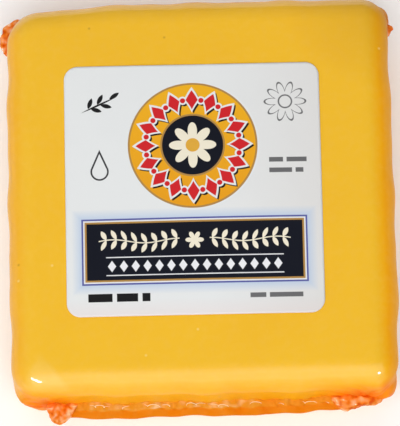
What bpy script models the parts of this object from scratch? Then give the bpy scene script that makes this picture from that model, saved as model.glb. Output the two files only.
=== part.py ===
"""A small square block of cheese, shrunk into a tinted film bag, with a paper label on its front.

Metres, +Z up. The block lies on its back, so z = 0 is its flat back face. The label faces +Z, and its
upper edge is towards +Y. The origin is the middle of the back face.
"""

import math

import bmesh
import bpy
from mathutils import Vector

# The block in its film
BLOCK_WIDTH = 0.088
BLOCK_LENGTH = 0.0920
BLOCK_THICKNESS = 0.0265
EDGE_ROUNDING = 0.006
# Rounding of the four upright corners, by the signs of x and y
CORNER_ROUNDING = {(-1, 1): 0.0076, (1, 1): 0.0062, (-1, -1): 0.0068, (1, -1): 0.0064}
FRONT_CROWN = 0.0009
FRONT_HOLLOWS = 0.00012
SIDE_BULGE = 0.0005
SIDE_WAVES = 0.00018
# How far the upper edge sinks, and the x between which it does so, towards the left
UPPER_LEFT_DROOP = 0.0013
DROOP_FROM, DROOP_TO = -0.016, -0.042

# The bag's two end seams run across the end faces, half way up
SEAM_HEIGHT = 0.0128
SEAM_TENT = 0.0004
SEAM_TENT_REACH = 0.0035
SEAM_HALF_WIDTH = 0.0335
FIN_THICKNESS = 0.0006
FIN_ROOT = 0.0025
LOWER_FIN = 0.0041
UPPER_FIN = 0.0018
FIN_TAPER = 0.16
FIN_WAVE = 0.0007
FIN_WAVE_LENGTH = 0.0092
# The fins' cut edges wander, fray a little, and step back between two places on the right
FIN_WANDER, FIN_WANDER_LENGTH = 0.00025, 0.040
FIN_FRAY = 0.00012
FIN_STEP, FIN_STEP_FROM, FIN_STEP_TO = 0.0003, 0.004, 0.016

# Where the film stands out or dips in: the middle of the place, how far and which way, and its reach.
# Spare film fills out three folded corners. The right side swells and then narrows near its lower end.
SWELLS = [
    (Vector((-0.0430, -0.0445, SEAM_HEIGHT)), Vector((-0.0007, -0.0018, 0)), 0.0044),
    (Vector((0.0430, -0.0450, SEAM_HEIGHT)), Vector((0.0011, -0.0019, 0)), 0.0040),
    (Vector((0.0425, 0.0435, SEAM_HEIGHT)), Vector((0.0013, 0.0017, 0)), 0.0038),
    (Vector((-0.0440, -0.0385, SEAM_HEIGHT)), Vector((0.0005, 0, 0)), 0.0035),
    (Vector((0.0440, -0.0280, SEAM_HEIGHT)), Vector((0.0004, 0, 0)), 0.0065),
    (Vector((0.0440, -0.0385, SEAM_HEIGHT)), Vector((-0.0013, 0, 0)), 0.0058),
]

# The folded corners of the bag, which shrink to stiff pleated tabs
TAB_THICKNESS = 0.0006
TAB_PLEATS = 2

# The paper label
LABEL_WIDTH = 0.0586
LABEL_LENGTH = 0.0590
LABEL_CORNER = 0.0032
LABEL_THICKNESS = 0.0003
LABEL_GAP = 0.0003
LABEL_SHIFT = (-0.0017, 0.0003)
LABEL_TURN = math.radians(-0.2)

# Segments along X, Y and Z, and the share of them that lies between the roundings
BLOCK_SEGMENTS = (22, 22, 9)
BLOCK_FLAT_SHARE = (16 / 22, 16 / 22, 3 / 9)
LABEL_SEGMENTS = 14
LABEL_FLAT_SHARE = 8 / 14

FILM_COLOUR = (0.87, 0.50, 0.045, 1.0)
PAPER_COLOUR = (0.76, 0.77, 0.77, 1.0)


def clear_scene():
    for scene_object in list(bpy.data.objects):
        bpy.data.objects.remove(scene_object)


def new_collection(name):
    collection = bpy.data.collections.new(name)
    bpy.context.scene.collection.children.link(collection)
    return collection


def new_material(name, colour, roughness):
    material = bpy.data.materials.new(name)
    material.use_nodes = True
    shader = material.node_tree.nodes["Principled BSDF"]
    shader.inputs["Base Color"].default_value = colour
    shader.inputs["Roughness"].default_value = roughness
    shader.inputs["Metallic"].default_value = 0.0
    return material


def add_object(name, mesh, collection):
    scene_object = bpy.data.objects.new(name, mesh)
    collection.objects.link(scene_object)
    return scene_object


def smooth_step(low, high, value):
    share = max(0.0, min(1.0, (value - low) / (high - low)))
    return share * share * (3 - 2 * share)


def clamp(value, limit):
    return max(-limit, min(limit, value))


def ripple(distance, wave_length, phase=0.0):
    return math.sin(2 * math.pi * distance / wave_length + phase)


def spread(share, half_size, rounding, flat_share):
    """Turns a share of a side, from -1 to 1, into a distance from the side's middle.

    Shares are evenly spaced on the flat. Beyond flat_share they go by equal angles round the edge.
    """
    if abs(share) <= flat_share:
        return (half_size - rounding) * share / flat_share
    angle = (abs(share) - flat_share) / (1 - flat_share) * math.pi / 4
    return math.copysign(half_size - rounding + rounding * math.tan(angle), share)


def core_point(x, y):
    """The point nearest to (x, y) of the block's core, whose outline is EDGE_ROUNDING inside the block's."""
    corner = CORNER_ROUNDING[(1 if x >= 0 else -1, 1 if y >= 0 else -1)]
    inner = Vector((clamp(x, BLOCK_WIDTH / 2 - corner), clamp(y, BLOCK_LENGTH / 2 - corner)))
    away = Vector((x, y)) - inner
    reach = corner - EDGE_ROUNDING
    if away.length > reach:
        away *= reach / away.length
    return inner + away


def front_rise(x, y):
    """How far the front face stands above the height of its edges."""
    across = clamp(2 * x / BLOCK_WIDTH, 1)
    along = clamp(2 * y / BLOCK_LENGTH, 1)
    crown = FRONT_CROWN * (1 - across**2) * (1 - along**2)
    hollows = ripple(x, 0.066, 1.2) * ripple(y, 0.079, 2.1) + 0.6 * ripple(y + 0.43 * x, 0.045)
    return crown + FRONT_HOLLOWS * hollows * (1 - across**4) * (1 - along**4)


def side_swell(place):
    """How far the film stands out at a side, from its slight bulge and its unevenness."""
    x, y, z = place
    upright = 1 - clamp(2 * z / BLOCK_THICKNESS - 1, 1) ** 2
    bulge_x = SIDE_BULGE * (1 - clamp(2 * y / BLOCK_LENGTH, 1) ** 2)
    bulge_y = SIDE_BULGE * (1 - clamp(2 * x / BLOCK_WIDTH, 1) ** 2)
    wave_x = SIDE_WAVES * (ripple(y + 0.3 * z, 0.021) + 0.7 * ripple(y, 0.0121, 2.1))
    wave_y = SIDE_WAVES * (ripple(x, 0.019, 1.4) + 0.7 * ripple(x + 0.13 * z, 0.0103))
    return upright * (bulge_x + wave_x), upright * (bulge_y + wave_y)


def droop(x, y):
    """How far the upper edge sinks towards the upper left corner."""
    return UPPER_LEFT_DROOP * smooth_step(-DROOP_FROM, -DROOP_TO, -x) * smooth_step(0.020, 0.045, y)


def film_point(u, v, w):
    """The place on the film of a point (u, v, w) on the surface of a cube from -1 to 1."""
    slab = BLOCK_THICKNESS - FRONT_CROWN
    box = Vector((
        spread(u, BLOCK_WIDTH / 2, EDGE_ROUNDING, BLOCK_FLAT_SHARE[0]),
        spread(v, BLOCK_LENGTH / 2, EDGE_ROUNDING, BLOCK_FLAT_SHARE[1]),
        spread(w, slab / 2, EDGE_ROUNDING, BLOCK_FLAT_SHARE[2]),
    ))
    core = core_point(box.x, box.y).to_3d()
    core.z = clamp(box.z, slab / 2 - EDGE_ROUNDING)
    place = core + (box - core).normalized() * EDGE_ROUNDING
    place.z += slab / 2

    swell_x, swell_y = side_swell(place)
    place.x += swell_x * clamp(2 * place.x / BLOCK_WIDTH, 1) ** 3
    end = clamp(2 * place.y / BLOCK_LENGTH, 1)
    seam_end = 1 - smooth_step(SEAM_HALF_WIDTH - 0.006, SEAM_HALF_WIDTH + 0.004, abs(place.x))
    off_seam = (place.z - SEAM_HEIGHT) / SEAM_TENT_REACH
    tent = SEAM_TENT * math.exp(-(off_seam**2)) * seam_end
    place.y += end**3 * swell_y + end**9 * tent
    place.y -= droop(place.x, place.y)
    place.z += front_rise(place.x, place.y) * smooth_step(slab * 0.45, slab, place.z)
    for middle, swell, reach in SWELLS:
        place += swell * math.exp(-(((place - middle).length / reach) ** 2))
    return place


def divide(mesh, axis, segments):
    """Cuts every edge that runs along one axis into equal lengths."""
    edges = [e for e in mesh.edges if abs((e.verts[0].co - e.verts[1].co)[axis]) > 1e-6]
    bmesh.ops.subdivide_edges(mesh, edges=edges, cuts=segments - 1, use_grid_fill=True)


def build_block(collection):
    """The cheese in its film, without the seams and tabs."""
    cube = bmesh.new()
    bmesh.ops.create_cube(cube, size=2)
    for axis, segments in enumerate(BLOCK_SEGMENTS):
        divide(cube, axis, segments)
    for vertex in cube.verts:
        vertex.co = film_point(*vertex.co)
    mesh = bpy.data.meshes.new("wrapped_block")
    cube.to_mesh(mesh)
    cube.free()
    mesh.shade_smooth()
    return add_object("wrapped_block", mesh, collection)


def sheet_solid(name, place, segments, thickness, collection):
    """A closed thin solid round the sheet place(s, t), where s and t run from -1 to 1."""
    grid = bmesh.new()
    bmesh.ops.create_grid(grid, x_segments=segments[0], y_segments=segments[1], size=1)
    for vertex in grid.verts:
        vertex.co = place(vertex.co.x, vertex.co.y)
    mesh = bpy.data.meshes.new(name)
    grid.to_mesh(mesh)
    grid.free()
    sheet = add_object(name, mesh, collection)
    solidify = sheet.modifiers.new("film", "SOLIDIFY")
    solidify.thickness = thickness
    solidify.offset = 0
    return sheet


def build_fin(name, end, length, collection):
    """The bag's welded edge, which stands out of an end face: end is 1 at the top and -1 at the bottom."""

    def place(s, t):
        x = SEAM_HALF_WIDTH * s
        out = (t + 1) / 2
        tip = length * (1 - FIN_TAPER * s**2) - FIN_STEP * smooth_step(FIN_STEP_FROM, FIN_STEP_TO, x)
        tip += FIN_WANDER * ripple(x, FIN_WANDER_LENGTH, end) + FIN_FRAY * ripple(x, FIN_WAVE_LENGTH)
        y = end * (BLOCK_LENGTH / 2 - FIN_ROOT + (FIN_ROOT + tip) * out)
        wave = ripple(x, FIN_WAVE_LENGTH, 2.2 * math.sin(3 * s + end))
        height = SEAM_HEIGHT + FIN_WAVE * wave * (1 - 0.55 * out) * smooth_step(-1, 1, t + 0.8)
        return Vector((x, y - droop(x, y), height))

    return sheet_solid(name, place, (46, 2), FIN_THICKNESS, collection)


def build_tab(name, root, along, across, length, widths, lobes, bow, pleat, curl, collection):
    """A folded corner of the bag: a tapering tab, pleated along its length, that curls away from its root.

    lobes says how the tip is scalloped: the height, the closeness and the shift of its scallops. bow says
    how it falls off towards the sides: how far, and how suddenly.
    """
    along, across = Vector(along).normalized(), Vector(across)
    across = (across - along * across.dot(along)).normalized()
    out = along.cross(across)

    def place(s, t):
        run = (s + 1) / 2
        half_width = (widths[0] + (widths[1] - widths[0]) * smooth_step(0, 1, run)) / 2
        narrowing = 2 * half_width / widths[0]
        fold = pleat * math.cos(TAB_PLEATS * math.pi * t + 0.7 * run) * narrowing**2
        tip = lobes[0] * math.cos(lobes[1] * t + lobes[2]) - bow[0] * abs(t) ** bow[1]
        return (
            Vector(root)
            + along * (length * run * (1 + tip))
            + across * (half_width * t)
            + out * (fold + curl * run * run)
        )

    return sheet_solid(name, place, (5, 11), TAB_THICKNESS, collection)


def build_tabs(collection):
    """The four folded corners. Each is set half way up, where its seam ends."""
    right, left = BLOCK_WIDTH / 2, -BLOCK_WIDTH / 2
    upper, lower = BLOCK_LENGTH / 2, -BLOCK_LENGTH / 2
    build_tab(
        "lower_left_tab",
        root=(left + 0.0110, lower + 0.0010, SEAM_HEIGHT),
        along=(-0.10, -1, 0.05),
        across=(1, 0, 0.25),
        length=0.0057,
        widths=(0.0056, 0.0047),
        lobes=(0.11, 1.9, 0.55),
        bow=(0.06, 6),
        pleat=0.0008,
        curl=0.0012,
        collection=collection,
    )
    build_tab(
        "lower_right_tab",
        root=(right - 0.0095, lower + 0.0010, SEAM_HEIGHT + 0.0004),
        along=(0.04, -1, -0.10),
        across=(1, 0, -0.15),
        length=0.0040,
        widths=(0.0122, 0.0116),
        lobes=(0.14, 3.74, 1.98),
        bow=(0.36, 4),
        pleat=0.0007,
        curl=-0.0010,
        collection=collection,
    )
    build_tab(
        "upper_left_tab",
        root=(left + 0.0014, upper - 0.0048, SEAM_HEIGHT),
        along=(-1, 0.34, 0.1),
        across=(0.34, 1, 0.3),
        length=0.0032,
        widths=(0.0098, 0.0088),
        lobes=(0.10, 2.2, 0.2),
        bow=(0.45, 3),
        pleat=0.0005,
        curl=-0.0006,
        collection=collection,
    )
    build_tab(
        "upper_right_tab",
        root=(right - 0.0022, upper - 0.0056, SEAM_HEIGHT + 0.001),
        along=(1, 0.25, 0),
        across=(0.1, 1, 0.6),
        length=0.0036,
        widths=(0.0042, 0.0034),
        lobes=(0.12, 4.3, 0.6),
        bow=(0.22, 6),
        pleat=0.0002,
        curl=0.0003,
        collection=collection,
    )


def join_all(block, pieces):
    """Fuses the block with every object of a collection, and removes those objects."""
    union = block.modifiers.new("fused film", "BOOLEAN")
    union.operation = "UNION"
    union.operand_type = "COLLECTION"
    union.collection = pieces
    union.solver = "EXACT"
    graph = bpy.context.evaluated_depsgraph_get()
    fused = bpy.data.meshes.new_from_object(block.evaluated_get(graph), depsgraph=graph)
    block.modifiers.clear()
    block.data = fused
    for piece in list(pieces.objects):
        bpy.data.objects.remove(piece)
    bpy.data.collections.remove(pieces)


def label_point(s, t):
    """A point of the label on the crowned front. Each round corner is a square mapped to a quarter disc."""
    x = spread(s, LABEL_WIDTH / 2, LABEL_CORNER, LABEL_FLAT_SHARE)
    y = spread(t, LABEL_LENGTH / 2, LABEL_CORNER, LABEL_FLAT_SHARE)
    inner_x = clamp(x, LABEL_WIDTH / 2 - LABEL_CORNER)
    inner_y = clamp(y, LABEL_LENGTH / 2 - LABEL_CORNER)
    beyond_x, beyond_y = (x - inner_x) / LABEL_CORNER, (y - inner_y) / LABEL_CORNER
    x = inner_x + LABEL_CORNER * beyond_x * math.sqrt(1 - beyond_y**2 / 2)
    y = inner_y + LABEL_CORNER * beyond_y * math.sqrt(1 - beyond_x**2 / 2)
    turned_x = x * math.cos(LABEL_TURN) - y * math.sin(LABEL_TURN) + LABEL_SHIFT[0]
    turned_y = x * math.sin(LABEL_TURN) + y * math.cos(LABEL_TURN) + LABEL_SHIFT[1]
    height = BLOCK_THICKNESS - FRONT_CROWN + front_rise(turned_x, turned_y)
    return Vector((turned_x, turned_y, height + LABEL_GAP + LABEL_THICKNESS / 2))


def build_label(collection):
    """The paper label, just clear of the film that it is stuck to."""
    segments = (LABEL_SEGMENTS, LABEL_SEGMENTS)
    return sheet_solid("front_label", label_point, segments, LABEL_THICKNESS, collection)


def main():
    clear_scene()
    parts = new_collection("wrapped_cheese")
    film_pieces = new_collection("film_seams_and_tabs")
    film = new_material("tinted_film", FILM_COLOUR, 0.22)
    paper = new_material("label_paper", PAPER_COLOUR, 0.4)

    block = build_block(parts)
    build_fin("lower_fin", -1, LOWER_FIN, film_pieces)
    build_fin("upper_fin", 1, UPPER_FIN, film_pieces)
    build_tabs(film_pieces)
    join_all(block, film_pieces)
    block.data.materials.clear()
    block.data.materials.append(film)

    label = build_label(parts)
    label.data.materials.append(paper)


main()
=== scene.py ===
# %% [markdown]
# # A small block of cheese in shrink film
#
# The real object is a soft-edged square of pale cheese in a tinted film bag. The bag was welded at both
# ends and shrunk, so it is tight and glossy, and it is gathered into seams and little tabs where there
# was too much film. A paper label is stuck to the front.
#
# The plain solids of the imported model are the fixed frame. Every piece made here is placed in that
# frame, in metres, and takes the place of one of its solids.

import math

import bmesh
import bpy
from mathutils import Matrix, Vector, noise


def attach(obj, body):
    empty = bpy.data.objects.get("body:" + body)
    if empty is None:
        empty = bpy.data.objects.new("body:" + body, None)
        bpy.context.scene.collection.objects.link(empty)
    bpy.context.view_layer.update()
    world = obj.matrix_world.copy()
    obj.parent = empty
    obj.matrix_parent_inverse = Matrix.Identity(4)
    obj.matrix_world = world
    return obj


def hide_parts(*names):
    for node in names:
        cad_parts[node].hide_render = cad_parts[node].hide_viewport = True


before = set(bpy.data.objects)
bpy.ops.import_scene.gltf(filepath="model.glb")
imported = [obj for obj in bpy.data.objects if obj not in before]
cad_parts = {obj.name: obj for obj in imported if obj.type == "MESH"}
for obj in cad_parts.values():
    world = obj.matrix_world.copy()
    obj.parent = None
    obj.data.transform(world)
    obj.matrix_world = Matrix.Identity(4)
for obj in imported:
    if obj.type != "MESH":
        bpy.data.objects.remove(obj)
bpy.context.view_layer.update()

# %% [markdown]
# ## The block's own measures
#
# These are the block's real sizes. A shrunk film follows the cheese, so its shape is a box with round
# edges, and a few smooth sums say how far it swells, sags and puckers. Writing the shape as sums, not as
# points, means that the same place can be asked for again by the label, the seams and the tabs.

# %% Measures of the block
BLOCK_WIDTH = 0.088
BLOCK_LENGTH = 0.0920
BLOCK_THICKNESS = 0.0265
EDGE_ROUNDING = 0.006
CORNER_ROUNDING = {(-1, 1): 0.0076, (1, 1): 0.0062, (-1, -1): 0.0068, (1, -1): 0.0064}
FRONT_CROWN = 0.0009
FRONT_HOLLOWS = 0.00012
SIDE_BULGE = 0.0005
SIDE_WAVES = 0.00018
UPPER_LEFT_DROOP = 0.0013
DROOP_FROM, DROOP_TO = -0.016, -0.042
SEAM_HEIGHT = 0.0128
SEAM_TENT = 0.0001
SEAM_TENT_REACH = 0.0035
SEAM_HALF_WIDTH = 0.0335
SLAB = BLOCK_THICKNESS - FRONT_CROWN

# Where the film stands out or dips in: the middle of the place, how far and which way, and its reach
SWELLS = [
    (Vector((-0.0430, -0.0445, SEAM_HEIGHT)), Vector((-0.0004, -0.0015, 0)), 0.0044),
    (Vector((0.0430, -0.0450, SEAM_HEIGHT)), Vector((0.0008, -0.0019, 0)), 0.0040),
    (Vector((0.0425, 0.0435, SEAM_HEIGHT)), Vector((0.0013, 0.0017, 0)), 0.0038),
    (Vector((-0.0440, -0.0385, SEAM_HEIGHT)), Vector((0.0005, 0, 0)), 0.0035),
    (Vector((0.0440, -0.0280, SEAM_HEIGHT)), Vector((0.0004, 0, 0)), 0.0065),
    (Vector((0.0440, -0.0375, SEAM_HEIGHT)), Vector((-0.0012, 0, 0)), 0.0062),
    (Vector((-0.0415, -0.0425, BLOCK_THICKNESS)), Vector((0, 0, -0.0004)), 0.0048),
]


def clamp(value, limit):
    return max(-limit, min(limit, value))


def smooth_step(low, high, value):
    share = max(0.0, min(1.0, (value - low) / (high - low)))
    return share * share * (3 - 2 * share)


def ripple(distance, wave_length, phase=0.0):
    return math.sin(2 * math.pi * distance / wave_length + phase)


def crumple(place, size, seed=0.0):
    """Soft noise from about -1 to 1, with lumps about `size` metres across."""
    return noise.noise(Vector(place) / size + Vector((seed, 2.7 * seed, -1.3 * seed))) * 1.6


print("block:", BLOCK_WIDTH, BLOCK_LENGTH, BLOCK_THICKNESS)

# %% [markdown]
# ## The skin of the block
#
# A rounded box could be a cube with a Bevel modifier, but the corners here are all a little different
# and the faces are not flat. So a cube is divided into a grid, and each point of the grid is sent to its
# place on the skin. A point on the flat part moves evenly. A point near an edge moves by equal angles
# round the rounding, which keeps the small faces square there.

# %% Where a point of the skin lies
SKIN_SEGMENTS = (150, 150, 60)
SKIN_FLAT_SHARE = (0.76, 0.76, 0.40)


def spread(share, half_size, rounding, flat_share):
    """Turns a share of a side, from -1 to 1, into a distance from the side's middle."""
    if abs(share) <= flat_share:
        return (half_size - rounding) * share / flat_share
    angle = (abs(share) - flat_share) / (1 - flat_share) * math.pi / 4
    return math.copysign(half_size - rounding + rounding * math.tan(angle), share)


def core_point(x, y):
    """The nearest point of the block's core, whose outline is EDGE_ROUNDING inside the block's."""
    corner = CORNER_ROUNDING[(1 if x >= 0 else -1, 1 if y >= 0 else -1)]
    inner = Vector((clamp(x, BLOCK_WIDTH / 2 - corner), clamp(y, BLOCK_LENGTH / 2 - corner)))
    away = Vector((x, y)) - inner
    reach = corner - EDGE_ROUNDING
    if away.length > reach:
        away *= reach / away.length
    return inner + away


def front_rise(x, y):
    """How far the front stands above the height of its edges."""
    across = clamp(2 * x / BLOCK_WIDTH, 1)
    along = clamp(2 * y / BLOCK_LENGTH, 1)
    crown = FRONT_CROWN * (1 - across**2) * (1 - along**2)
    hollows = ripple(x, 0.066, 1.2) * ripple(y, 0.079, 2.1) + 0.6 * ripple(y + 0.43 * x, 0.045)
    return crown + FRONT_HOLLOWS * hollows * (1 - across**4) * (1 - along**4)


def side_swell(place):
    """How far the film stands out at a side face and at an end face."""
    x, y, z = place
    upright = 1 - clamp(2 * z / BLOCK_THICKNESS - 1, 1) ** 2
    bulge_x = SIDE_BULGE * (1 - clamp(2 * y / BLOCK_LENGTH, 1) ** 2)
    bulge_y = SIDE_BULGE * (1 - clamp(2 * x / BLOCK_WIDTH, 1) ** 2)
    wave_x = SIDE_WAVES * (ripple(y + 0.3 * z, 0.021) + 0.7 * ripple(y, 0.0121, 2.1))
    wave_y = SIDE_WAVES * (ripple(x, 0.019, 1.4) + 0.7 * ripple(x + 0.13 * z, 0.0103))
    return upright * (bulge_x + wave_x), upright * (bulge_y + wave_y)


def droop(x, y):
    """How far the upper edge sinks towards the upper left corner."""
    return UPPER_LEFT_DROOP * smooth_step(-DROOP_FROM, -DROOP_TO, -x) * smooth_step(0.020, 0.045, y)


def skin_point(u, v, w):
    """The place on the skin of the point (u, v, w) of a cube from -1 to 1."""
    box = Vector((
        spread(u, BLOCK_WIDTH / 2, EDGE_ROUNDING, SKIN_FLAT_SHARE[0]),
        spread(v, BLOCK_LENGTH / 2, EDGE_ROUNDING, SKIN_FLAT_SHARE[1]),
        spread(w, SLAB / 2, EDGE_ROUNDING, SKIN_FLAT_SHARE[2]),
    ))
    core = core_point(box.x, box.y).to_3d()
    core.z = clamp(box.z, SLAB / 2 - EDGE_ROUNDING)
    place = core + (box - core).normalized() * EDGE_ROUNDING
    place.z += SLAB / 2

    swell_x, swell_y = side_swell(place)
    place.x += swell_x * clamp(2 * place.x / BLOCK_WIDTH, 1) ** 3
    end = clamp(2 * place.y / BLOCK_LENGTH, 1)
    seam_end = 1 - smooth_step(SEAM_HALF_WIDTH - 0.006, SEAM_HALF_WIDTH + 0.004, abs(place.x))
    off_seam = (place.z - SEAM_HEIGHT) / SEAM_TENT_REACH
    tent = SEAM_TENT * math.exp(-(off_seam**2)) * seam_end
    place.y += end**3 * swell_y + end**9 * tent
    place.y -= droop(place.x, place.y)
    place.z += front_rise(place.x, place.y) * smooth_step(SLAB * 0.45, SLAB, place.z)
    for middle, swell, reach in SWELLS:
        place += swell * math.exp(-(((place - middle).length / reach) ** 2))
    return place


print("middle of the front:", tuple(round(c, 4) for c in skin_point(0, 0, 1)))

# %% [markdown]
# ## Puckers in the film
#
# Where the bag had more film than the block needed, it shrank into fine ridges. They run away from the
# four folded corners like the creases at the neck of a sack, and up and down from the two end seams.
# They are real relief, because the light catches each one, so they are moves of the skin and not only a
# pattern in its finish. Each folded corner is one entry here: where it is, how far its creases reach, and
# how strong they are.

# %% The folded corners and their creases
LEFT, RIGHT = -BLOCK_WIDTH / 2, BLOCK_WIDTH / 2
LOWER, UPPER = -BLOCK_LENGTH / 2, BLOCK_LENGTH / 2
GATHERS = {
    "lower_left": {"at": (LEFT + 0.0085, LOWER, SEAM_HEIGHT), "reach": 0.0105, "height": 0.00030},
    "lower_right": {"at": (RIGHT - 0.0080, LOWER, SEAM_HEIGHT), "reach": 0.0120, "height": 0.00032},
    "upper_left": {"at": (LEFT, UPPER - 0.0062, SEAM_HEIGHT), "reach": 0.0085, "height": 0.00026},
    "upper_right": {"at": (RIGHT, UPPER - 0.0060, SEAM_HEIGHT), "reach": 0.0100, "height": 0.00022},
}
CREASE_LIMIT = 1.6
PLEAT_HEIGHT = 0.00013
PLEAT_REACH = 0.0022
PLEAT_PITCHES = (0.0031, 0.0017)
BROAD_WOBBLE = 0.00006
EDGE_WOBBLE = 0.00005


def end_share(normal):
    """How squarely a point faces an end of the block, from 0 to 1."""
    return smooth_step(0.60, 0.98, abs(normal.y))


def crease_lift(place, normal):
    """How far creases lift the skin at a point, in metres."""
    lift = 0.0
    for number, gather in enumerate(GATHERS.values()):
        away = place - Vector(gather["at"])
        reach = away.length / gather["reach"]
        if reach < CREASE_LIMIT:
            flat = away - normal * away.dot(normal)
            turn = math.atan2(flat.z, flat.x + flat.y)
            wander = 2.5 * crumple(place, 0.006, number)
            ridges = math.sin(9 * turn + wander) + 0.6 * math.sin(17 * turn - 1.7 * wander)
            lift += gather["height"] * ridges * math.exp(-3 * reach**2) * smooth_step(0, 0.3, reach)
    to_end = end_share(normal)
    if to_end > 0 and abs(place.x) < SEAM_HALF_WIDTH + 0.002:
        off_seam = abs(place.z - SEAM_HEIGHT)
        wide_drift = 3 * crumple((place.x, 0, 0), 0.012)
        fine_drift = 4 * crumple((place.x, 0, 0), 0.009, 3)
        pleats = ripple(place.x + 0.25 * off_seam, PLEAT_PITCHES[0], wide_drift)
        pleats += 0.5 * ripple(place.x - 0.2 * off_seam, PLEAT_PITCHES[1], fine_drift)
        lift += PLEAT_HEIGHT * pleats * math.exp(-off_seam / PLEAT_REACH) * to_end
    return lift


def film_wobble(place, normal):
    """The slight unevenness of the whole skin, which is flat on the back, where the block rests."""
    if normal.z < -0.2:
        return 0.0
    broad = BROAD_WOBBLE * crumple(place, 0.013, 5.0)
    edge = smooth_step(0.15, 0.8, 1 - abs(normal.z)) * EDGE_WOBBLE * crumple(place, 0.0048, 8.0)
    return (broad + edge) * smooth_step(-0.2, 0.3, normal.z)


print("gathers:", ", ".join(GATHERS))

# %% [markdown]
# ## How much film lies at each place
#
# One layer of the tinted film makes the pale cheese look yellow. Two or three layers make it orange, and
# the tightest folds are nearly red. That amount belongs to the shape, so it is worked out point by point
# and kept on the mesh as an attribute that the finish can read: 0 is one layer, 1 is the thickest gather.
# The right side is given more than the left: partly more film, partly painted shade.

# %% Layers of film at a point
END_LAYERS = 0.26
# The right side gets more than the left: partly more film, partly painted shade, as that side is turned away
# from the light.
RIGHT_LAYERS_AND_SHADE = 0.38
LEFT_LAYERS = 0.26
GATHER_LAYERS = 0.62


def film_layers(place, normal):
    ragged = 0.5 + 0.5 * crumple((place.x, 0, place.z * 0.4), 0.014, 11.0)
    below_seam = 1 - smooth_step(SEAM_HEIGHT - 0.0008, SEAM_HEIGHT + 0.0012, place.z)
    layers = end_share(normal) * (END_LAYERS + 0.14 * ragged + 0.10 * below_seam)
    to_right, to_left = smooth_step(0.15, 0.70, normal.x), smooth_step(0.25, 0.9, -normal.x)
    layers += RIGHT_LAYERS_AND_SHADE * to_right + LEFT_LAYERS * to_left
    for gather in GATHERS.values():
        away = (place - Vector(gather["at"])).length / gather["reach"]
        strength = smooth_step(0.15, 0.8, 1 - abs(normal.z))
        layers += GATHER_LAYERS * strength * math.exp(-2.6 * away**2) * (0.75 + 0.5 * ragged)
    return max(0.0, min(1.0, layers))


seam_layers = film_layers(Vector((0, LOWER, SEAM_HEIGHT)), Vector((0, -1, 0)))
print("layers at the lower seam:", round(seam_layers, 2))

# %% [markdown]
# ## Making the skin
#
# The cube is divided along one direction at a time. The first pass puts each point on the smooth skin,
# and the second, which needs the smooth skin's own normals, adds the creases.

# %% Build the skin
def divide(mesh, axis, segments):
    """Cuts every edge that runs along one axis into equal lengths."""
    edges = [e for e in mesh.edges if abs((e.verts[0].co - e.verts[1].co)[axis]) > 1e-6]
    bmesh.ops.subdivide_edges(mesh, edges=edges, cuts=segments - 1, use_grid_fill=True)


def add_piece(name, mesh):
    piece = bpy.data.objects.new(name, mesh)
    bpy.context.scene.collection.objects.link(piece)
    return piece


def store(mesh, name, values):
    """Keeps one number for each point of a mesh, for its finish to read."""
    mesh.attributes.new(name, "FLOAT", "POINT").data.foreach_set("value", values)


def build_skin():
    cube = bmesh.new()
    bmesh.ops.create_cube(cube, size=2)
    for axis, segments in enumerate(SKIN_SEGMENTS):
        divide(cube, axis, segments)
    for vertex in cube.verts:
        vertex.co = skin_point(*vertex.co)
    mesh = bpy.data.meshes.new("film_skin")
    cube.to_mesh(mesh)
    cube.free()
    smooth = [(v.co.copy(), v.normal.copy()) for v in mesh.vertices]
    layers = []
    for vertex, (place, normal) in zip(mesh.vertices, smooth):
        vertex.co = place + normal * (crease_lift(place, normal) + film_wobble(place, normal))
        vertex.co.z = max(vertex.co.z, 0.0)
        layers.append(film_layers(place, normal))
    store(mesh, "layers", layers)
    mesh.shade_smooth()
    return add_piece("film_skin", mesh)


skin = build_skin()
print("skin:", len(skin.data.polygons), "faces")

# %% [markdown]
# ## The end seams
#
# Each end of the bag was welded across and trimmed. The weld stands out of the end face as a thin fin of
# doubled film. Its half by the block is the weld itself, which shrank into small tight crinkles and went
# milky. Its outer half stayed smooth and clear. A flat grid that is sent to its place by one function
# gives the fin, and a Solidify modifier gives it its thickness.

# %% Build the fins
FIN_LENGTH = {"lower": 0.0041, "upper": 0.0018}
FIN_THICKNESS = 0.00030
FIN_ROOT = 0.0016
FIN_TAPER = 0.16
FIN_SEGMENTS = (420, 26)
WELD_SHARE = 0.68
WAVE_PITCH = 0.0092
WAVE_HEIGHT = 0.0005
CRINKLE_PITCH = 0.0034
CRINKLE_HEIGHT = 0.00022
GRAIN_HEIGHT = 0.00013


def build_sheet(name, place, segments, thickness, attribute):
    """A thin closed sheet through place(s, t), where s and t run from -1 to 1. It returns the piece."""
    grid = bmesh.new()
    bmesh.ops.create_grid(grid, x_segments=segments[0], y_segments=segments[1], size=1)
    values = []
    for vertex in grid.verts:
        s, t = vertex.co.x, vertex.co.y
        vertex.co = place(s, t)
        values.append(attribute(s, t, vertex.co))
    mesh = bpy.data.meshes.new(name)
    grid.to_mesh(mesh)
    grid.free()
    store(mesh, "layers", values)
    mesh.shade_smooth()
    piece = add_piece(name, mesh)
    solidify = piece.modifiers.new("film", "SOLIDIFY")
    solidify.thickness = thickness
    solidify.offset = 0
    return piece


def fin_wave(x, out, end):
    """The height of the fin's waves, tight at the root and dying out towards the trimmed edge."""
    broad = WAVE_HEIGHT * ripple(x, WAVE_PITCH, 2.2 * math.sin(90 * x + end))
    tight = CRINKLE_HEIGHT * ripple(x, CRINKLE_PITCH, 3.5 * crumple((x, 0, 0), 0.011, end + 2))
    fine = GRAIN_HEIGHT * crumple((x, out * 0.004, 0), 0.0011, end + 7)
    weld = 1 - smooth_step(WELD_SHARE - 0.08, WELD_SHARE + 0.06, out)
    return broad * (1 - 0.5 * out) * smooth_step(0, 0.4, out) + (tight + fine) * weld


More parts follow.
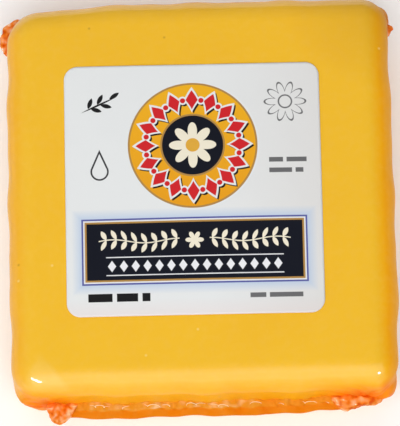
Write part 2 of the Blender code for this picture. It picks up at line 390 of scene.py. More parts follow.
def build_fin(name, end, length):
    def place(s, t):
        x = SEAM_HALF_WIDTH * s
        out = (t + 1) / 2
        ragged = 0.00025 * ripple(x, 0.040, end) + 0.00012 * ripple(x, WAVE_PITCH)
        ragged += 0.00006 * crumple((x, 0, 0), 0.003, end)
        ragged -= 0.0003 * smooth_step(0.004, 0.016, x)
        tip = length * (1 - FIN_TAPER * s**2) + ragged
        y = end * (BLOCK_LENGTH / 2 - FIN_ROOT + (FIN_ROOT + tip) * out)
        return Vector((x, y - droop(x, y), SEAM_HEIGHT + fin_wave(x, out, end)))

    def layers(s, t, point):
        edge = (t + 1) / 2 + 0.03 * crumple((point.x, 0, 0), 0.003, end + 5)
        weld = 1 - smooth_step(WELD_SHARE - 0.03, WELD_SHARE + 0.03, edge)
        milky = 0.52 - 0.26 * smooth_step(0.008, 0.014, point.x) - 0.20 * smooth_step(-0.025, -0.029, point.x)
        return 0.80 + 0.06 * crumple(point, 0.004, 4) - weld * (milky + 0.10 * crumple(point, 0.0022, 9))

    return build_sheet(name, place, FIN_SEGMENTS, FIN_THICKNESS, layers)


fins = [build_fin("lower_seam", -1, FIN_LENGTH["lower"]), build_fin("upper_seam", 1, FIN_LENGTH["upper"])]
print("fins:", [len(fin.data.polygons) for fin in fins])

# %% [markdown]
# ## The weld beads
#
# The hot bar that welded the bag left thin threads of melted film along the seam. They were straight when
# they were made, and they buckled into little hooks as the bag shrank. A curve with a round bevel is the
# quickest way to a thread: its points wander to and fro along the seam, and each thread is one spline.

# %% Build the beads
BEAD_RADIUS = 0.00007
BEAD_STEP = 0.00020
BEAD_OUT = 0.0014
HOOK_PITCH = 0.0024
HOOK_HEIGHT = 0.00026
HOOK_LENGTH = 0.0005
LOWER_BEADS = [
    (-0.0265, -0.0223), (-0.0196, -0.0178), (-0.0146, -0.0105), (-0.0098, -0.0082), (-0.0045, -0.0006),
    (0.0012, 0.0048), (0.0103, 0.0122), (0.0165, 0.0178), (0.0216, 0.0248), (0.0270, 0.0279),
]


def bead_point(x, end, seed):
    """A point of a thread: it swings out and back, and a quarter turn behind that, to and fro."""
    swing = 2 * math.pi * x / HOOK_PITCH + 3 * crumple((x, 0, 0), 0.010, seed)
    out = BEAD_OUT + HOOK_HEIGHT * math.sin(swing) + 0.0003 * crumple((x, 0, 0), 0.005, seed + 1)
    share = (FIN_ROOT + out) / (FIN_ROOT + FIN_LENGTH["lower"])
    along = x + HOOK_LENGTH * math.sin(swing + 1.3)
    y = end * (BLOCK_LENGTH / 2 + out)
    z = SEAM_HEIGHT + fin_wave(along, share, end) + FIN_THICKNESS * 0.75
    return Vector((along, y - droop(along, y), z))


def build_beads(name, end, stretches, seed):
    curve = bpy.data.curves.new(name, "CURVE")
    curve.dimensions = "3D"
    curve.bevel_depth = BEAD_RADIUS
    curve.bevel_resolution = 2
    curve.use_fill_caps = True
    for start, stop in stretches:
        steps = max(4, int((stop - start) / BEAD_STEP))
        line = curve.splines.new("POLY")
        line.points.add(steps)
        for step, point in enumerate(line.points):
            share = step / steps
            point.co = (*bead_point(start + (stop - start) * share, end, seed), 1)
            point.radius = 0.35 + 0.9 * math.sin(math.pi * share) ** 0.5
    holder = bpy.data.objects.new(name, curve)
    mesh = bpy.data.meshes.new_from_object(holder)
    bpy.data.objects.remove(holder)
    mesh.shade_smooth()
    # Layer count nought gives the threads a near-white colour: partly milky melted film, partly painted
    # glint.
    store(mesh, "layers", [0.0] * len(mesh.vertices))
    return add_piece(name, mesh)


beads = [build_beads("lower_weld_threads", -1, LOWER_BEADS, 1.0)]
print("beads:", [len(bead.data.polygons) for bead in beads])

# %% [markdown]
# ## The folded corners
#
# At each corner the spare film folded up on itself and shrank to a stiff little tab, so hot that its folds
# ran together. A tab is a ball pulled out into a short thick tongue: one share of its height runs along
# the tab, its breadth is folded lengthwise into soft pleats, and its tip is scalloped. Noise then lumps
# it. The pleats run along the tab, which a lump of noise alone would not give. Blender lists the points
# of a new ball in an order that changes from run to run, so they are put in a fixed order first.

# %% Build the tabs
TAB_SEGMENTS = (96, 72)
LARGE_LUMPS = (0.00018, 0.0013)
SMALL_LUMPS = (0.00009, 0.0006)


def ball_order(place):
    """A number that rises along a ball from pole to pole, and round it within each ring of points."""
    return 1e5 * place.z + math.atan2(place.y, place.x)


def build_tab(name, root, along, across, length, widths, thickness, lobes, bow, pleat, curl, red, seed):
    """lobes are the height, closeness and shift of the tip's scallops, bow is how it falls off sideways, and
    red is how deep its colour is."""
    along, across = Vector(along).normalized(), Vector(across)
    across = (across - along * across.dot(along)).normalized()
    out = along.cross(across)
    ball = bmesh.new()
    bmesh.ops.create_uvsphere(ball, u_segments=TAB_SEGMENTS[0], v_segments=TAB_SEGMENTS[1], radius=1)
    ball.verts.sort(key=lambda vertex: ball_order(vertex.co))
    ball.faces.sort(key=lambda face: ball_order(face.calc_center_median()))
    layers = []
    for vertex in ball.verts:
        side, depth, height = vertex.co
        run = (height + 1) / 2
        ring = max(math.hypot(side, depth), 1e-6)
        full = math.sqrt(max(0.0, 1 - height**6))
        t, deep = full * side / ring, full * depth / ring
        half_width = (widths[0] + (widths[1] - widths[0]) * smooth_step(0, 1, run)) / 2
        tip = lobes[0] * math.cos(lobes[1] * t + lobes[2]) - bow[0] * abs(t) ** bow[1]
        fold = math.cos(2 * math.pi * t + 0.7 * run + seed) * (2 * half_width / widths[0]) ** 2
        grown = smooth_step(0.0, 0.5, run)
        plump = 0.5 * thickness * (1 + 0.15 * math.cos(9 * t + 2 * seed)) * deep * (0.35 + 0.65 * grown)
        point = Vector(root) + along * (length * run * (1 + tip)) + across * (half_width * t)
        point += out * (plump + pleat * fold + curl * run * run)
        place = point.copy()
        for axis in range(3):
            lump = LARGE_LUMPS[0] * crumple(place, LARGE_LUMPS[1], seed + axis)
            lump += SMALL_LUMPS[0] * crumple(place, SMALL_LUMPS[1], seed - axis)
            point[axis] += lump * (0.2 + 0.8 * grown)
        vertex.co = point
        shade = red - 0.22 * grown - 0.05 * fold
        # Pale blotches from noise: partly milky balled film, partly painted glints on its crinkles.
        shade += (0.42 * crumple(place, 0.0010, seed + 9) + 0.15 * crumple(place, 0.0026, seed + 5)) * grown
        layers.append(max(0.0, min(1.0, shade)))
    mesh = bpy.data.meshes.new(name)
    ball.to_mesh(mesh)
    ball.free()
    store(mesh, "layers", layers)
    mesh.shade_smooth()
    return add_piece(name, mesh)


tabs = [
    build_tab(
        "lower_left_tab", root=(LEFT + 0.0111, LOWER + 0.0010, SEAM_HEIGHT - 0.0004),
        along=(-0.10, -1, 0.12), across=(1, 0, 0.10),
        length=0.0059, widths=(0.0078, 0.0048), thickness=0.0020,
        lobes=(0.11, 1.9, 0.55), bow=(0.04, 6), pleat=0.0003, curl=0.0008, red=0.64, seed=1.0,
    ),
    build_tab(
        "lower_right_tab", root=(RIGHT - 0.0095, LOWER + 0.0010, SEAM_HEIGHT + 0.0004),
        along=(0.04, -1, -0.10), across=(1, 0, -0.15),
        length=0.0041, widths=(0.0124, 0.0118), thickness=0.0022,
        lobes=(0.13, 3.74, 1.85), bow=(0.34, 4), pleat=0.0002, curl=-0.0008, red=0.94, seed=2.0,
    ),
    build_tab(
        "upper_left_tab", root=(LEFT + 0.0014, UPPER - 0.0049, SEAM_HEIGHT),
        along=(-1, 0.34, 0.1), across=(0.34, 1, 0.3),
        length=0.0031, widths=(0.0094, 0.0084), thickness=0.0016,
        lobes=(0.08, 2.2, 0.2), bow=(0.45, 3), pleat=0.0002, curl=-0.0004, red=0.74, seed=3.0,
    ),
    # The upper right tab's deep red is partly its own colour and partly painted shade, as it lies on the side
    # away from the light.
    build_tab(
        "upper_right_tab", root=(RIGHT - 0.0022, UPPER - 0.0056, SEAM_HEIGHT + 0.001),
        along=(1, 0.25, 0), across=(0.1, 1, 0.6),
        length=0.0037, widths=(0.0046, 0.0038), thickness=0.0014,
        lobes=(0.12, 4.3, 0.6), bow=(0.20, 6), pleat=0.0002, curl=0.0003, red=0.92, seed=4.0,
    ),
]
print("tabs:", [tab.name for tab in tabs])

# %% [markdown]
# ## The paper label
#
# The label is a thin card with round corners, pressed onto the skin. It is a divided sheet laid on the
# same crowned front, a hair above it, so that it bends as the cheese does.

# %% Build the label
LABEL_WIDTH = 0.0586
LABEL_LENGTH = 0.0590
LABEL_CORNER = 0.0032
LABEL_FLAT_SHARE = 0.84
LABEL_SEGMENTS = (110, 110)
LABEL_SHIFT = (-0.0017, 0.0003)
LABEL_TURN = math.radians(-0.2)
LABEL_THICKNESS = 0.00016
LABEL_LIFT = 0.00022


def label_place(s, t):
    x = spread(s, LABEL_WIDTH / 2, LABEL_CORNER, LABEL_FLAT_SHARE)
    y = spread(t, LABEL_LENGTH / 2, LABEL_CORNER, LABEL_FLAT_SHARE)
    inner_x = clamp(x, LABEL_WIDTH / 2 - LABEL_CORNER)
    inner_y = clamp(y, LABEL_LENGTH / 2 - LABEL_CORNER)
    beyond_x, beyond_y = (x - inner_x) / LABEL_CORNER, (y - inner_y) / LABEL_CORNER
    x = inner_x + LABEL_CORNER * beyond_x * math.sqrt(1 - beyond_y**2 / 2)
    y = inner_y + LABEL_CORNER * beyond_y * math.sqrt(1 - beyond_x**2 / 2)
    turned_x = x * math.cos(LABEL_TURN) - y * math.sin(LABEL_TURN) + LABEL_SHIFT[0]
    turned_y = x * math.sin(LABEL_TURN) + y * math.cos(LABEL_TURN) + LABEL_SHIFT[1]
    wobble = 0.00003 * crumple((turned_x, turned_y, 0), 0.016, 21.0)
    return Vector((turned_x, turned_y, SLAB + front_rise(turned_x, turned_y) + LABEL_LIFT + wobble))


label = build_sheet("paper_label", label_place, LABEL_SEGMENTS, LABEL_THICKNESS, lambda s, t, point: 0.0)
print("label:", len(label.data.polygons), "faces")

# %% [markdown]
# ## Writing finishes as sums
#
# A Blender material is a web of nodes. Long webs are hard to read, so here a small class stands for one
# wire of the web. Ordinary sums with wires add Math nodes, so `1 - mask` means what it says. Colours are
# mixed by a Mix node, because a Math node would turn them grey. Every other node is made by one method.

# %% Wires and finishes
def colour(red, green, blue):
    """A colour as picked on a screen, from 0 to 255, turned into the linear values that light needs."""
    def linear(value):
        share = value / 255
        return share / 12.92 if share <= 0.04045 else ((share + 0.055) / 1.055) ** 2.4
    return (linear(red), linear(green), linear(blue), 1.0)


class Wire:
    """A value, colour or vector on its way through a finish."""

    def __init__(self, finish, socket):
        self.finish, self.socket = finish, socket

    def sum(self, operation, *values, clip=False):
        settings = {"operation": operation, "use_clamp": clip}
        return self.finish.node("ShaderNodeMath", settings, dict(enumerate(values)))

    def __add__(self, other): return self.sum("ADD", self, other)
    def __radd__(self, other): return self.sum("ADD", other, self)
    def __sub__(self, other): return self.sum("SUBTRACT", self, other)
    def __rsub__(self, other): return self.sum("SUBTRACT", other, self)
    def __mul__(self, other): return self.sum("MULTIPLY", self, other)
    def __rmul__(self, other): return self.sum("MULTIPLY", other, self)
    def __truediv__(self, other): return self.sum("DIVIDE", self, other)
    def __pow__(self, other): return self.sum("POWER", self, other)
    def __abs__(self): return self.sum("ABSOLUTE", self)
    def sine(self): return self.sum("SINE", self)
    def cosine(self): return self.sum("COSINE", self)
    def angle(self, along): return self.sum("ARCTAN2", self, along)
    def least(self, other): return self.sum("MINIMUM", self, other)
    def most(self, other): return self.sum("MAXIMUM", self, other)
    def clip(self): return self.sum("ADD", self, 0.0, clip=True)
    def cell(self, pitch): return self.sum("WRAP", self, pitch / 2, -pitch / 2)


class Finish:
    """A material, made from wires."""

    def __init__(self, name):
        self.material = bpy.data.materials.new(name)
        self.material.use_nodes = True
        self.tree = self.material.node_tree
        self.shader = self.tree.nodes["Principled BSDF"]

    def node(self, kind, settings=None, inputs=None, output=0):
        """Adds a node, with its settings and its sockets' values or wires. It returns an output's wire."""
        made = self.tree.nodes.new(kind)
        for name, value in (settings or {}).items():
            setattr(made, name, value)
        for key, value in (inputs or {}).items():
            self.connect(made.inputs[key], value)
        return Wire(self, made.outputs[output])

    def connect(self, socket, value):
        if isinstance(value, Wire):
            self.tree.links.new(value.socket, socket)
        else:
            socket.default_value = value

    def mix(self, share, first, second):
        """A colour that goes from first to second as share goes from 0 to 1."""
        return self.node("ShaderNodeMix", {"data_type": "RGBA"}, {0: share, 6: first, 7: second}, output=2)

    def ramp(self, value, stops):
        """Colours at given values, with smooth steps between them."""
        wire = self.node("ShaderNodeValToRGB", None, {"Fac": value})
        bar = wire.socket.node.color_ramp
        while len(bar.elements) < len(stops):
            bar.elements.new(0.5)
        for element, (place, shade) in zip(bar.elements, stops):
            element.position, element.color = place, shade
        return wire

    def place(self):
        return self.node("ShaderNodeTexCoord", output="Object")

    def noise(self, size, detail=2.0, roughness=0.5, place=None):
        """Soft noise about 0.5, with lumps about `size` metres across."""
        inputs = {"Vector": place or self.place(), "Scale": 1 / size}
        inputs |= {"Detail": detail, "Roughness": roughness}
        return self.node("ShaderNodeTexNoise", None, inputs, output="Fac")

    def attribute(self, name):
        return self.node("ShaderNodeAttribute", {"attribute_name": name}, output="Fac")

    def bump(self, height, distance, strength=1.0):
        inputs = {"Height": height, "Distance": distance, "Strength": strength}
        return self.node("ShaderNodeBump", None, inputs)

    def surface(self, **sockets):
        """Sets the shader's sockets. A name like coat_weight is the socket Coat Weight."""
        for name, value in sockets.items():
            title = name.replace("_", " ").title().replace("Ior", "IOR")
            self.connect(self.shader.inputs[title], value)
        return self.material


print("finishes ready")

# %% [markdown]
# ## The film's finish
#
# The film is clear and tinted, and the cheese under it is pale and a little waxy. Making both layers and
# tracing light through them would be slow and grainy. One surface can stand for both: its base colour is
# that of the cheese seen through the film, taken from the number of layers, and its clear coat is the
# film's gloss. The gloss fades where the layers build up, because puckered film scatters what it
# mirrors. Thin noise keeps the film from looking like moulded plastic.

# %% Film over cheese
def film_finish(name, stops, mottle, coat_roughness, coat_loss, marks=None):
    """coat_loss says how soon the gloss goes as the layers build up."""
    film = Finish(name)
    place = film.place()
    layers = film.attribute("layers")
    patches = film.noise(0.014, detail=3.0, place=place)
    fine = film.noise(0.0016, detail=2.0, place=place)
    tint = film.ramp(layers + (patches - 0.5) * 0.10, stops)
    tint = film.mix((fine - 0.42).clip() * mottle, tint, colour(255, 214, 120))
    tint = film.mix((patches - 0.45).clip() * 0.55, tint, film.mix(0.5, tint, colour(222, 146, 14)))
    if marks:
        tint = marks(film, place, tint)
    film.surface(
        base_color=tint,
        roughness=0.34 + fine * 0.12,
        normal=film.bump(fine, distance=0.00004, strength=0.35),
        coat_weight=(1.1 - layers * coat_loss).clip(),
        coat_roughness=coat_roughness,
        coat_ior=1.6,
        specular_ior_level=0.05,
    )
    return film


PINHOLES = ((-7.6, 36.6), (-24.9, 39.2), (-42.0, -16.1))
# Pale specks in the film; the last one is a painted glint near the upper right corner.
SPECKS_AND_GLINT = ((-34.3, -16.8), (-42.1, -19.8), (-13.4, -38.2), (-1.5, -32.5), (41.9, 33.1))
SPOT_RADIUS = 0.35
FILM_STOPS = [
    (0.00, colour(244, 188, 28)),
    (0.30, colour(250, 178, 14)),
    (0.62, colour(254, 144, 8)),
    (1.00, colour(254, 98, 4)),
]


def front_marks_and_painted_light(film, place, tint):
    """Marks on the front: painted shade towards the upper right corner, a paler patch by the lower left
    corner that is partly painted highlight of a flat facet and partly film standing off the cheese, pinholes,
    and pale specks with one painted glint.
    """
    axes = film.node("ShaderNodeSeparateXYZ", None, {0: place})
    x, y, z = (Wire(film, axes.socket.node.outputs[axis]) * 1000 for axis in "XYZ")
    # Painted shade: the film is made darker towards the upper right corner, where less light falls.
    to_corner = ((x - 44.0) ** 2 + (y - 46.0) ** 2) ** 0.5
    tint = film.mix((1.0 - to_corner / 24.0).clip() * 0.55, tint, colour(202, 146, 12))
    on_front = ((z - 22.0) / 2.0).clip()
    # A paler triangle by the lower left corner: partly the film standing off the cheese, partly a painted
    # highlight of the flat facet there.
    left_side = (x + 37.3) * -0.86 + (y + 36.9) * 0.51
    right_side = (x + 37.3) * 0.80 + (y + 36.9) * 0.60
    patch = (0.5 - left_side.most(right_side) / 1.1).clip() * ((y + 37.2) / -3.0).clip()
    tint = film.mix(patch * on_front * 0.20, tint, colour(255, 220, 128))
    dark, pale = colour(176, 120, 10), colour(255, 226, 140)
    for spots, strength, shade in ((PINHOLES, 0.55, dark), (SPECKS_AND_GLINT, 0.6, pale)):
        for at_x, at_y in spots:
            spot = (1.2 - ((x - at_x) ** 2 + (y - at_y) ** 2) ** 0.5 / SPOT_RADIUS).clip()
            tint = film.mix(spot * on_front * strength, tint, shade)
    return tint


skin_finish = film_finish(
    "film_over_cheese", FILM_STOPS, mottle=0.20, coat_roughness=0.10, coat_loss=2.5, marks=front_marks_and_painted_light,
)
skin.data.materials.append(skin_finish.material)
print(skin_finish.material.name, len(skin_finish.tree.nodes), "nodes")

# %% [markdown]
# ## The gathered film's finish
#
# The fins, threads and tabs are film alone, folded and shrunk until it is stiff. Where it melted it is
# milky, and where it is clear it is deep orange. The finish is made like the skin's, with ramps of its
# own: a milky tan at the thin end for the fins and threads, and a pinker, blotchier one for the tabs,
# whose film balled up. The near-white of the threads and the tabs' pale blotches are partly that milky
# film and partly painted glints.

# %% Gathered film
GATHER_STOPS = [
    (0.00, colour(255, 232, 190)),
    (0.30, colour(224, 150, 34)),
    (0.62, colour(226, 140, 32)),
    (0.82, colour(226, 128, 8)),
    (1.00, colour(226, 76, 6)),
]
gather_finish = film_finish("gathered_film", GATHER_STOPS, mottle=0.15, coat_roughness=0.08, coat_loss=1.9)
for piece in fins + beads:
    piece.data.materials.append(gather_finish.material)

TAB_STOPS = [
    (0.00, colour(255, 216, 172)),
    (0.30, colour(248, 166, 104)),
    (0.55, colour(244, 140, 48)),
    (0.80, colour(230, 116, 14)),
    (1.00, colour(212, 80, 6)),
]
tab_finish = film_finish("balled_film", TAB_STOPS, mottle=0.25, coat_roughness=0.08, coat_loss=1.4)
for piece in tabs:
    piece.data.materials.append(tab_finish.material)
for finish in (gather_finish, tab_finish):
    print(finish.material.name, len(finish.tree.nodes), "nodes")

# %% [markdown]
# ## The label's print
#
# Ink has no thickness, so the print is colour in the paper's finish and not a set of shapes laid on it.
# Each shape is a distance: below nought inside the shape, above nought outside it. `ink` turns that
# distance into a crisp mask. Distances add up well: the lesser of two joins shapes, the greater of two
# keeps what they share, and a number taken off makes a shape larger. All lengths are in millimetres from
# the label's middle.

# %% Shapes for the print
EDGE = 0.07
paper = Finish("printed_label")
across_up = paper.node("ShaderNodeSeparateXYZ", None, {0: paper.place()})
offset_x = (Wire(paper, across_up.socket.node.outputs["X"]) - LABEL_SHIFT[0]) * 1000
offset_y = (Wire(paper, across_up.socket.node.outputs["Y"]) - LABEL_SHIFT[1]) * 1000
across = offset_x * math.cos(LABEL_TURN) + offset_y * math.sin(LABEL_TURN)
up = offset_y * math.cos(LABEL_TURN) - offset_x * math.sin(LABEL_TURN)


def ink(distance):
    return (0.5 - distance / EDGE).clip()


def box_shape(x, y, half_width, half_height):
    return (abs(x) - half_width).most(abs(y) - half_height)


def disc_shape(x, y, radius):
    return (x * x + y * y) ** 0.5 - radius


def lozenge_shape(x, y, half_width, half_height):
    slope = half_width * half_height / math.hypot(half_width, half_height)
    return (abs(x) / half_width + abs(y) / half_height - 1) * slope


def flower_shape(x, y, petals, inner, outer):
    petal = abs((y.angle(x) * (petals / 2)).cosine())
    return (x * x + y * y) ** 0.5 - (inner + (outer - inner) * petal)


def leaf_shape(x, y, slant, half_length, half_width):
    """A pointed leaf: what two leaning discs share. slant is its turn in degrees."""
    lean = math.radians(slant)
    along = x * math.cos(lean) + y * math.sin(lean)
    aside = abs(y * math.cos(lean) - x * math.sin(lean))
    radius = (half_length**2 + half_width**2) / (2 * half_width)
    return (along * along + (aside + (radius - half_width)) ** 2) ** 0.5 - radius


def bars_shape(x, y, rows, half_height):
    """Short bars in rows: each row is its height and a list of (start, end) pairs."""
    shape = None
    for level, pieces in rows:
        for start, end in pieces:
            bar = box_shape(x - (start + end) / 2, y - level, (end - start) / 2, half_height)
            shape = bar if shape is None else shape.least(bar)
    return shape


print("print shapes ready")

# %% [markdown]
# ## Laying the inks
#
# A printer lays light colours first and dark outlines last, and this does the same. The design is a plain
# folk one: a round medallion in the upper half and a straight dark band below it, with small marks in the
# space beside them.

# %% Band and medallion
WHITE = colour(228, 230, 230)
NAVY = colour(8, 12, 26)
GOLD = colour(176, 134, 70)
CREAM = colour(238, 230, 208)
RED = colour(206, 32, 38)
BLACK = colour(20, 20, 22)
VIOLET = colour(88, 92, 160)
SKY = colour(176, 198, 226)
GREY = colour(52, 52, 56)

smudges = paper.noise(0.010, detail=4.0)
# Faint smudges, a pinkish tint towards the lower edge, and painted shade that darkens the paper towards its
# right side.
print_colour = paper.mix((smudges - 0.52).clip() * 0.35, WHITE, colour(206, 208, 210))
print_colour = paper.mix(((-25.5 - up) / 4.0).clip() * 0.30, print_colour, colour(236, 206, 200))
print_colour = paper.mix(((across - 4.0) / 24.0).clip() * 0.35, print_colour, colour(210, 202, 196))

BAND_LEVEL = -14.5
BAND_HALF_SIZE = (24.6, 6.6)
band_y = up - BAND_LEVEL
band = box_shape(across, band_y, *BAND_HALF_SIZE)
print_colour = paper.mix(((3.4 - band) / 2.4).clip() * 0.75, print_colour, SKY)
for growth, layer in ((1.15, VIOLET), (0.75, WHITE), (0.42, GOLD), (0.0, NAVY)):
    print_colour = paper.mix(ink(band - growth), print_colour, layer)

MEDALLION_LEVEL = 10.2
MEDALLION_RADIUS = 14.4
MIDDLE_RADIUS = 7.0
medallion_y = up - MEDALLION_LEVEL
medallion = disc_shape(across, medallion_y, MEDALLION_RADIUS)
lowness = (0.5 - medallion_y / (2 * MEDALLION_RADIUS)).clip()
amber = paper.mix(lowness, colour(238, 176, 28), colour(230, 156, 22))
for growth, layer in ((0.85, WHITE), (0.45, GOLD), (0.0, amber)):
    print_colour = paper.mix(ink(medallion - growth), print_colour, layer)
middle = disc_shape(across, medallion_y, MIDDLE_RADIUS)
for growth, layer in ((0.42, GOLD), (0.0, NAVY)):
    print_colour = paper.mix(ink(middle - growth), print_colour, layer)
print("band and medallion laid")

# %% [markdown]
# The medallion's ring has lozenges with a bead between each two. Wrapping the length of arc round the ring
# makes one lozenge and one bead serve for all. Each is laid three times: a dark one a little aside as a
# shadow, a white one a little larger as an outline, and a red one.

# %% Ring of lozenges and beads
RING_RADIUS = 10.8
RING_COUNT = 16
RING_PITCH = 2 * math.pi * RING_RADIUS / RING_COUNT


def lozenge_ring(x, y):
    outward = disc_shape(x, y, RING_RADIUS)
    arc = y.angle(x) * RING_RADIUS
    lozenge = lozenge_shape(arc.cell(RING_PITCH), outward, 1.4, 2.3)
    bead = disc_shape((arc + RING_PITCH / 2).cell(RING_PITCH), outward, 0.6)
    return lozenge.least(bead)


ring = lozenge_ring(across, medallion_y)
shadow = lozenge_ring(across - 0.4, medallion_y + 0.4)
print_colour = paper.mix(ink(shadow - 0.33), print_colour, BLACK)
print_colour = paper.mix(ink(ring - 0.4), print_colour, WHITE)
print_colour = paper.mix(ink(ring), print_colour, RED)
print("ring laid")

# %% [markdown]
# A flower with round petals fills the medallion. The band has a leafy sprig to each side of a small
# blossom, and a rule of small lozenges below. Leaves and lozenges repeat by wrapping too.

# %% Flower, sprigs and rule
SPRIG_LEVEL = 2.4
SPRIG_WAVE = 0.42
LEAF_PITCH = 2.3
RULE_LEVEL = -3.4
RULE_HALF = 20.2
RULE_PITCH = 2.7
flower = flower_shape(across, medallion_y, 8, 2.6, 5.4)
print_colour = paper.mix(ink(flower), print_colour, CREAM)
print_colour = paper.mix(ink(disc_shape(across, medallion_y, 1.6)), print_colour, colour(222, 168, 60))

sprig_x = abs(across)
sprig_y = band_y - SPRIG_LEVEL - 0.45 * (sprig_x * SPRIG_WAVE).sine()
leaf_cell = (sprig_x - 2 * LEAF_PITCH).cell(LEAF_PITCH)
leaves = leaf_shape(leaf_cell, abs(sprig_y) - 1.15, 62, 1.25, 0.52)
sprigs = leaves.least(abs(sprig_y) - 0.13).most(abs(sprig_x - 12.65) - 9.2)
sprigs = sprigs.least(flower_shape(across, band_y - SPRIG_LEVEL, 6, 0.9, 2.1))
print_colour = paper.mix(ink(sprigs), print_colour, CREAM)

rule_y = band_y - RULE_LEVEL
rule = lozenge_shape(across.cell(RULE_PITCH), rule_y, 0.95, 1.35).most(abs(across) - RULE_HALF)
rule = rule.least(box_shape(across, abs(rule_y) - 2.1, RULE_HALF, 0.12))
print_colour = paper.mix(ink(rule), print_colour, colour(232, 233, 236))
print("flower, sprigs and rule laid")

# %% [markdown]
# The small marks are a leafy twig, a daisy in thin line, a milk drop and a few plain bars. A thin line is
# a shape's distance with its sign dropped, less half the line's width.

# %% Small marks
daisy_x, daisy_y = across - 21.4, up - 20.2
daisy = abs(flower_shape(daisy_x, daisy_y, 10, 2.4, 4.7)) - 0.22
daisy = daisy.least(abs(disc_shape(daisy_x, daisy_y, 1.5)) - 0.17)
print_colour = paper.mix(ink(daisy) * 0.85, print_colour, GREY)

drop_x, drop_y = across + 21.4, up - 4.4
drop_point = ((abs(drop_x) + 0.44 * drop_y - 2.07) * 0.915).most(0.76 - drop_y)
drop = abs(disc_shape(drop_x, drop_y, 1.9).least(drop_point)) - 0.2
print_colour = paper.mix(ink(drop), print_colour, GREY)

TWIG_LEAVES = ((-2.0, 0.4, 70), (0.3, 1.3, 62), (-0.6, -1.2, -18), (1.7, -0.3, -14), (3.6, 2.1, 34))
twig_x, twig_y = across + 21.4, up - 20.2
twig = leaf_shape(twig_x, twig_y, 24, 4.4, 0.22)
for leaf_x, leaf_y, slant in TWIG_LEAVES:
    twig = twig.least(leaf_shape(twig_x - leaf_x, twig_y - leaf_y, slant, 1.35, 0.50))
print_colour = paper.mix(ink(twig), print_colour, BLACK)

BOLD_ROWS = [(-25.2, [(-24.4, -18.9), (-17.9, -13.1), (-12.1, -10.3)])]
print_colour = paper.mix(ink(bars_shape(across, up, BOLD_ROWS, 0.95)), print_colour, BLACK)
SMALL_ROWS = [
    (6.4, [(17.4, 20.6), (21.4, 26.0)]),
    (3.9, [(17.4, 22.6), (23.4, 25.2)]),
    (-25.2, [(12.4, 16.0), (16.8, 24.4)]),
]
print_colour = paper.mix(ink(bars_shape(across, up, SMALL_ROWS, 0.55)) * 0.85, print_colour, GREY)
print("print:", len(paper.tree.nodes), "nodes")

# %% [markdown]
# The stock is a smooth coated paper. A faint grain in its height keeps the sheen from being perfect.

# %% Label stock
grain = paper.noise(0.0007, detail=2.0)
paper.surface(
    base_color=print_colour,
    roughness=0.36 + smudges * 0.12,
    normal=paper.bump(grain, distance=0.00002, strength=0.3),
    specular_ior_level=0.25,
)
label.data.materials.append(paper.material)
print("label stock:", paper.material.name)

# %% [markdown]
# ## Fixing the pieces to the frame
#
# Each film piece takes the place of the plain solid block, and the printed sheet that of the plain label.

# %% Ride and replace
film_pieces = [skin, *fins, *beads, *tabs]
for piece in film_pieces:
    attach(piece, "root")
    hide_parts("wrapped_block")
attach(label, "root")
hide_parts("front_label")
print("pieces:", len(film_pieces) + 1)

# %% [markdown]
# ## Floor, light and camera
#
# The block lies on a plain pale floor, and two soft boxes light it. Four more lamps light nothing and are
# only mirrored in the gloss: two broad ones that overlap give the wide pale band along the lower
# rounding, and two small ones the sharp glints. With light and sheen apart, each can be set without
# the other. A pale sky fills the shadows.

# %% Floor
FLOOR_HALF = 2.0
FLOOR_GAP = 0.0002
floor_grid = bmesh.new()
bmesh.ops.create_grid(floor_grid, x_segments=1, y_segments=1, size=FLOOR_HALF)
floor_mesh = bpy.data.meshes.new("floor")
floor_grid.to_mesh(floor_mesh)
floor_grid.free()
floor = add_piece("floor", floor_mesh)
floor.location.z = -FLOOR_GAP
floor_finish = Finish("pale_floor")
floor_tone = floor_finish.noise(0.35, detail=1.0)
floor_finish.surface(
    base_color=floor_finish.mix(floor_tone, colour(236, 236, 236), colour(240, 240, 240)), roughness=0.9,
    emission_color=colour(255, 255, 255), emission_strength=0.16,
)
floor_mesh.materials.append(floor_finish.material)
print("floor at", round(floor.location.z, 4))

# %% Lights
def area_light(name, place, aim, size, power, light=True, sheen=True):
    """A soft box that lights the block, or is mirrored in it as sheen, or both."""
    data = bpy.data.lights.new(name, "AREA")
    data.shape, data.size, data.size_y = "RECTANGLE", size[0], size[1]
    data.energy = power
    lamp = bpy.data.objects.new(name, data)
    bpy.context.scene.collection.objects.link(lamp)
    lamp.location = place
    lamp.rotation_euler = (Vector(place) - Vector(aim)).to_track_quat("Z", "Y").to_euler()
    lamp.visible_diffuse, lamp.visible_glossy = light, sheen
    return lamp


MIDDLE = (0, 0, 0.01)
area_light("soft_top", (-0.06, -0.43, 0.85), MIDDLE, (0.8, 0.6), 6.3, sheen=False)
area_light("soft_back", (0.05, 1.00, 0.80), MIDDLE, (1.2, 0.8), 2.6, sheen=False)
area_light("broad_sheen", (0.16, -0.98, 0.68), MIDDLE, (2.4, 1.6), 8.1, light=False)
area_light("middle_sheen", (0.10, -0.98, 0.74), MIDDLE, (2.2, 0.8), 2.6, light=False)
area_light("left_glint", (-0.44, -0.72, 0.58), (-0.038, -0.043, 0.024), (0.52, 0.06), 5.4, light=False)
area_light("right_glint", (0.50, -0.83, 0.44), (0.038, -0.044, 0.022), (0.16, 0.12), 2.8, light=False)

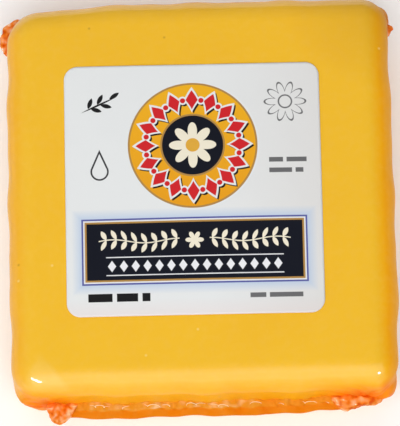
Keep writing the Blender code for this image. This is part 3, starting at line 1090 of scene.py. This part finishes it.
# A pale sky, brighter towards the block's lower end and left, and darker towards its upper end and right
world = bpy.data.worlds.new("pale_sky")
world.use_nodes = True
sky = world.node_tree
ray = sky.nodes.new("ShaderNodeTexCoord")
slope = sky.nodes.new("ShaderNodeVectorMath")
slope.operation = "DOT_PRODUCT"
slope.inputs[1].default_value = (-0.13, -0.08, 0.0)
level = sky.nodes.new("ShaderNodeMath")
level.inputs[1].default_value = 0.37
sky.links.new(ray.outputs["Generated"], slope.inputs[0])
sky.links.new(slope.outputs["Value"], level.inputs[0])
sky.links.new(level.outputs["Value"], sky.nodes["Background"].inputs["Strength"])
sky.nodes["Background"].inputs["Color"].default_value = (1.0, 1.0, 1.0, 1.0)
bpy.context.scene.world = world
print("lights set")

# %% [markdown]
# The camera is above the block and a little towards its lower end, far away with a long lens, so the
# sides stay nearly parallel. It is rolled slightly, as the block lies slightly askew in the picture.

# %% Camera
ELEVATION = math.radians(76)
ROLL = math.radians(1.45)
DISTANCE = 0.93
PIXELS_PER_METRE = 4319
PICTURE_HEIGHT = 426
SENSOR = 36.0
AIM = Vector((-0.00037, 0, BLOCK_THICKNESS / 2))
AIM_DROP = 0.00215

toward = Vector((0, -math.cos(ELEVATION), math.sin(ELEVATION)))
upward = Vector((0, math.sin(ELEVATION), math.cos(ELEVATION)))
aim = AIM - upward * AIM_DROP
camera_data = bpy.data.cameras.new("camera")
camera_data.sensor_width = SENSOR
camera_data.lens = PIXELS_PER_METRE * DISTANCE / PICTURE_HEIGHT * SENSOR
camera = bpy.data.objects.new("camera", camera_data)
bpy.context.scene.collection.objects.link(camera)
camera.location = aim + toward * DISTANCE
turn = toward.to_track_quat("Z", "Y").to_matrix()
side = upward.cross(toward)
turn.col[0], turn.col[1], turn.col[2] = side, upward, toward
camera.rotation_euler = (turn @ Matrix.Rotation(-ROLL, 3, "Z")).to_euler()
bpy.context.scene.camera = camera
bpy.context.scene.view_settings.view_transform = "Standard"
print("lens:", round(camera_data.lens, 1), "mm")
